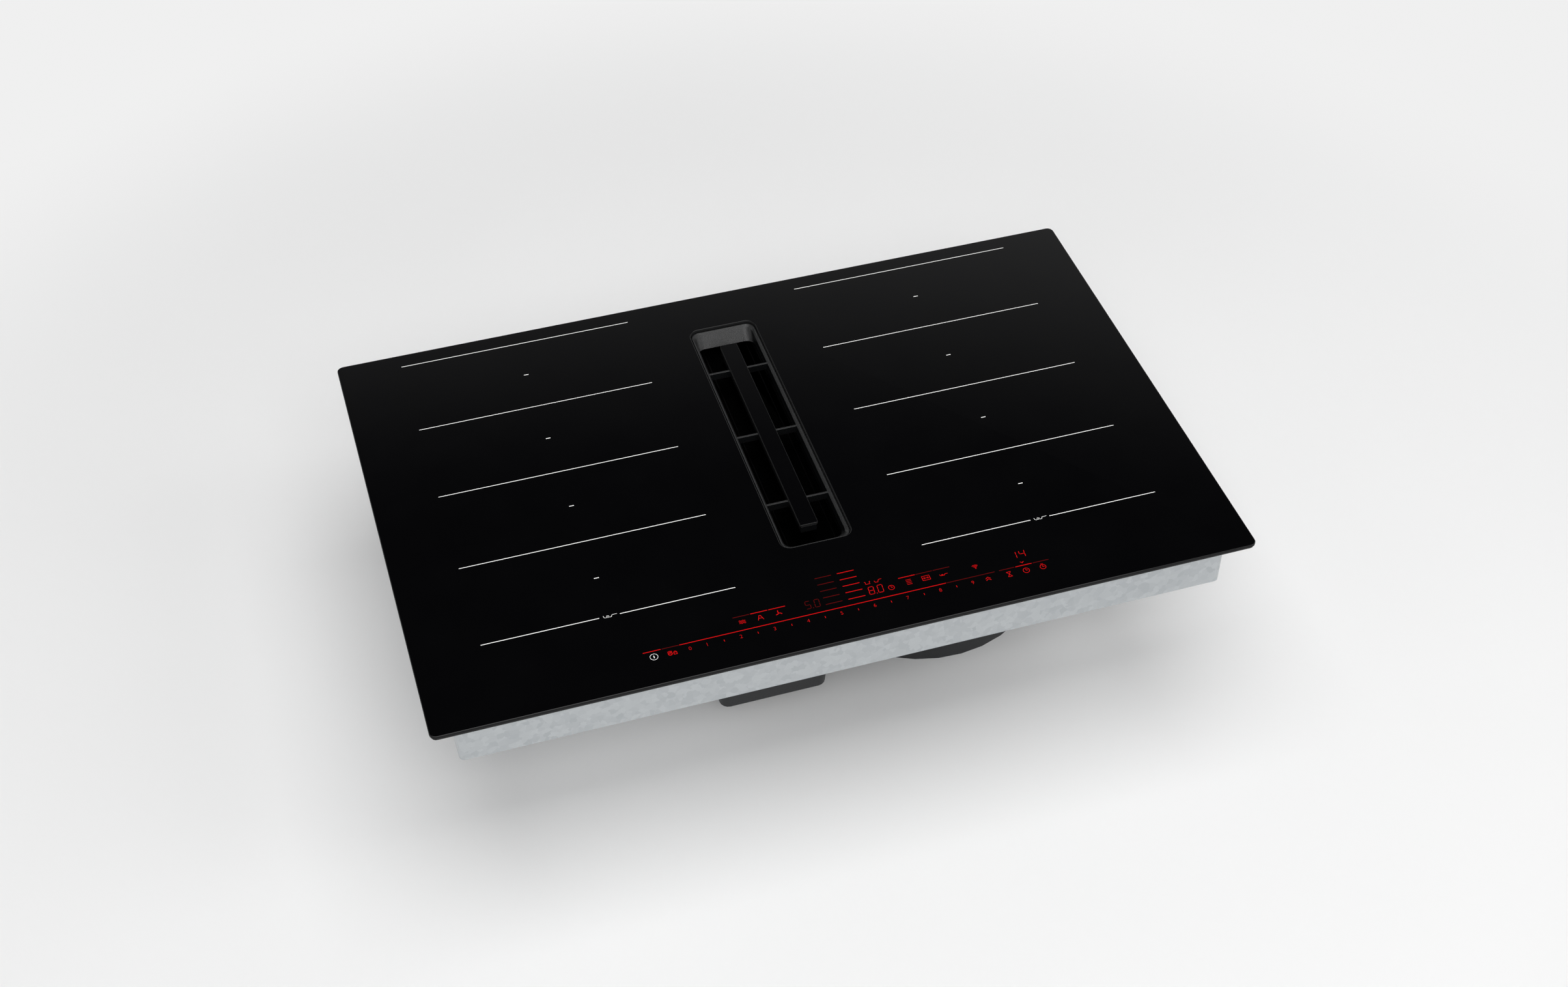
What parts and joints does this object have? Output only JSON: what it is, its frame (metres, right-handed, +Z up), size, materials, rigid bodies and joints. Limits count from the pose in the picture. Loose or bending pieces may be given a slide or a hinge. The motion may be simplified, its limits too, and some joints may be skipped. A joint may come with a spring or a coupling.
{
  "type": "downdraft induction cooktop",
  "caption": "Flush black glass induction cooktop with a central downdraft vent: lift-out grille and filter cassette, coil fields, plenum, overflow tank and radial blower.",
  "frame": {"origin": "in the plane on which the seal rests on the worktop, under the middle of the glass", "axes": "+X to the cook's right, +Y to the back, +Z up out of the glass"},
  "size_m": [0.792, 0.512, 0.223],
  "materials": {
    "glass_ceramic": "black glass ceramic, polished top, ground edge",
    "grille_black": "heat-resistant moulding, matt black, finely textured",
    "moulded_black": "black injection moulding, fine spark-eroded texture",
    "grey_plastic": "grey glass-filled moulding",
    "rubber": "black elastomer and sealing foam",
    "zinc_steel": "hot-dip galvanised steel sheet with a fine spangle",
    "stainless": "stainless steel",
    "aluminium": "mill-finish aluminium sheet",
    "copper": "enamelled copper litz wire, wound flat",
    "mica": "mica insulating sheet",
    "printed_marks": "light grey ceramic colour fired onto the glass",
    "indicator_lights": "red light-emitting diodes that shine through the glass",
    "circuit": "green solder-resist circuit board with components"
  },
  "bodies": {
    "housing": {"air_shaft": "moulded_black", "base_tray": "zinc_steel", "clamp_bracket_back_left": "zinc_steel", "clamp_bracket_back_right": "zinc_steel", "clamp_bracket_front_left": "zinc_steel", "clamp_bracket_front_right": "zinc_steel", "clamp_screw_back_left": "zinc_steel", "clamp_screw_back_right": "zinc_steel", "clamp_screw_front_left": "zinc_steel", "clamp_screw_front_right": "zinc_steel", "coil_former_left": "grey_plastic", "coil_former_right": "grey_plastic", "coil_left_1": "copper", "coil_left_2": "copper", "coil_left_3": "copper", "coil_left_4": "copper", "coil_plate_left": "aluminium", "coil_plate_right": "aluminium", "coil_right_1": "copper", "coil_right_2": "copper", "coil_right_3": "copper", "coil_right_4": "copper", "cooling_fan_frame_left": "moulded_black", "cooling_fan_frame_right": "moulded_black", "fan_motor": "zinc_steel", "glass_panel": "glass_ceramic", "heat_sink_left": "aluminium", "heat_sink_right": "aluminium", "housing_screw_1": "zinc_steel", "housing_screw_2": "zinc_steel", "housing_screw_3": "zinc_steel", "housing_screw_4": "zinc_steel", "inlet_bell": "grey_plastic", "mains_gland": "rubber", "mains_terminal_box": "grey_plastic", "mica_sheet_left": "mica", "mica_sheet_right": "mica", "outlet_flange": "moulded_black", "plenum_cover": "moulded_black", "plenum_housing": "moulded_black", "power_board_left": "circuit", "power_board_right": "circuit", "scroll_housing": "moulded_black", "shaft_seal": "rubber", "tank_seal": "rubber", "touch_board": "circuit", "touch_carrier": "grey_plastic", "worktop_seal": "rubber"},
    "cassette": {"cassette_frame": "stainless", "filter_mat_left": "stainless", "filter_mat_right": "stainless", "condensate_tray": "moulded_black"},
    "grille": {"vent_grille": "grille_black", "grille_glass_strip": "glass_ceramic"},
    "tank": {"overflow_tank": "moulded_black"},
    "impeller_set": {"impeller": "grey_plastic", "motor_axle": "stainless"},
    "cooler_rotor_left": {"cooling_fan_rotor_left": "moulded_black"},
    "cooler_rotor_right": {"cooling_fan_rotor_right": "moulded_black"}
  },
  "joints": [
    {"name": "cassette_lift", "type": "slide", "parent": "housing", "child": "cassette", "axis": [0, 0, 1], "range_m": [0, 0.07]},
    {"name": "grille_lift", "type": "slide", "parent": "cassette", "child": "grille", "axis": [0, 0, 1], "range_m": [0, 0.03]},
    {"name": "tank_drop", "type": "slide", "parent": "housing", "child": "tank", "axis": [0, 0, -1], "range_m": [0, 0.028]},
    {"name": "impeller_spin", "type": "hinge", "parent": "housing", "child": "impeller_set", "pos_m": [0.15, 0.01, -0.165], "axis": [0, 0, 1], "continuous": true},
    {"name": "cooler_left_spin", "type": "hinge", "parent": "housing", "child": "cooler_rotor_left", "pos_m": [-0.14, -0.195, -0.043], "axis": [0, 0, 1], "continuous": true},
    {"name": "cooler_right_spin", "type": "hinge", "parent": "housing", "child": "cooler_rotor_right", "pos_m": [0.14, -0.195, -0.043], "axis": [0, 0, 1], "continuous": true}
  ]
}
